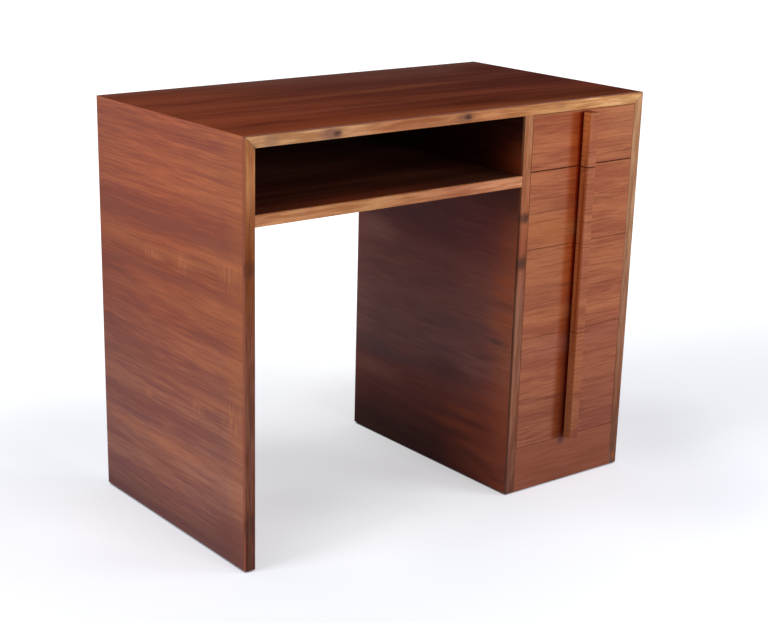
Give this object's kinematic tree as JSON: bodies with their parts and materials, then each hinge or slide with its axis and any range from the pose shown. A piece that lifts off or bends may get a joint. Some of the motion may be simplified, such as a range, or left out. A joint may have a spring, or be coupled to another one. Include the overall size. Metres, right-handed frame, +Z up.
{
  "type": "writing desk",
  "caption": "Mitred board writing desk with an open cubby, a kneehole and a pedestal of drawers that share a vertical strip handle.",
  "frame": {"origin": "on the floor under the middle of the desk's outline, handle strip included", "axes": "+X to the right of a person facing the drawers, +Y from the front to the back, +Z up"},
  "size_m": [0.9, 0.51, 0.755],
  "materials": {
    "case_veneer": "satin",
    "front_veneer": "satin",
    "edge_strip_wood": "satin",
    "handle_wood": "satin",
    "box_wood": "matt",
    "joinery_wood": "matt",
    "rail_steel": "zinc plated",
    "screw_steel": "zinc plated",
    "glide_plastic": "matt"
  },
  "bodies": {
    "case": {"top_panel": "case_veneer", "left_side_panel": "case_veneer", "right_side_panel": "case_veneer", "divider_panel": "case_veneer", "cubby_shelf": "case_veneer", "cubby_back": "case_veneer", "pedestal_back": "case_veneer", "pedestal_base": "case_veneer", "plinth_board": "front_veneer", "top_lipping": "edge_strip_wood", "left_side_lipping": "edge_strip_wood", "right_side_lipping": "edge_strip_wood", "divider_lipping": "edge_strip_wood", "shelf_lipping": "edge_strip_wood", "mitre_splines": "joinery_wood", "case_dowels": "joinery_wood", "back_screws": "screw_steel", "rail_screws": "screw_steel", "floor_glides": "glide_plastic", "fixed_rails": "rail_steel"},
    "drawer_1": {"drawer_1_front": "front_veneer", "drawer_1_handle": "handle_wood", "drawer_1_left_side": "box_wood", "drawer_1_right_side": "box_wood", "drawer_1_box_front": "box_wood", "drawer_1_box_back": "box_wood", "drawer_1_bottom": "box_wood", "drawer_1_rails": "rail_steel", "drawer_1_screws": "screw_steel"},
    "carrier_1": {"drawer_1_carriers": "rail_steel"},
    "drawer_2": {"drawer_2_front": "front_veneer", "drawer_2_handle": "handle_wood", "drawer_2_left_side": "box_wood", "drawer_2_right_side": "box_wood", "drawer_2_box_front": "box_wood", "drawer_2_box_back": "box_wood", "drawer_2_bottom": "box_wood", "drawer_2_rails": "rail_steel", "drawer_2_screws": "screw_steel"},
    "carrier_2": {"drawer_2_carriers": "rail_steel"},
    "drawer_3": {"drawer_3_front": "front_veneer", "drawer_3_handle": "handle_wood", "drawer_3_left_side": "box_wood", "drawer_3_right_side": "box_wood", "drawer_3_box_front": "box_wood", "drawer_3_box_back": "box_wood", "drawer_3_bottom": "box_wood", "drawer_3_rails": "rail_steel", "drawer_3_screws": "screw_steel"},
    "carrier_3": {"drawer_3_carriers": "rail_steel"},
    "drawer_4": {"drawer_4_front": "front_veneer", "drawer_4_handle": "handle_wood", "drawer_4_left_side": "box_wood", "drawer_4_right_side": "box_wood", "drawer_4_box_front": "box_wood", "drawer_4_box_back": "box_wood", "drawer_4_bottom": "box_wood", "drawer_4_rails": "rail_steel", "drawer_4_screws": "screw_steel"},
    "carrier_4": {"drawer_4_carriers": "rail_steel"}
  },
  "joints": [
    {"name": "drawer_1_slide", "type": "slide", "parent": "case", "child": "drawer_1", "axis": [0, -1, 0], "range_m": [0, 0.38]},
    {"name": "carrier_1_slide", "type": "slide", "parent": "case", "child": "carrier_1", "axis": [0, -1, 0], "range_m": [0, 0.19]},
    {"name": "drawer_2_slide", "type": "slide", "parent": "case", "child": "drawer_2", "axis": [0, -1, 0], "range_m": [0, 0.38]},
    {"name": "carrier_2_slide", "type": "slide", "parent": "case", "child": "carrier_2", "axis": [0, -1, 0], "range_m": [0, 0.19]},
    {"name": "drawer_3_slide", "type": "slide", "parent": "case", "child": "drawer_3", "axis": [0, -1, 0], "range_m": [0, 0.38]},
    {"name": "carrier_3_slide", "type": "slide", "parent": "case", "child": "carrier_3", "axis": [0, -1, 0], "range_m": [0, 0.19]},
    {"name": "drawer_4_slide", "type": "slide", "parent": "case", "child": "drawer_4", "axis": [0, -1, 0], "range_m": [0, 0.38]},
    {"name": "carrier_4_slide", "type": "slide", "parent": "case", "child": "carrier_4", "axis": [0, -1, 0], "range_m": [0, 0.19]}
  ],
  "couplings": [
    {"joint": "carrier_1_slide", "follows": "drawer_1_slide", "ratio": 0.5},
    {"joint": "carrier_2_slide", "follows": "drawer_2_slide", "ratio": 0.5},
    {"joint": "carrier_3_slide", "follows": "drawer_3_slide", "ratio": 0.5},
    {"joint": "carrier_4_slide", "follows": "drawer_4_slide", "ratio": 0.5}
  ]
}
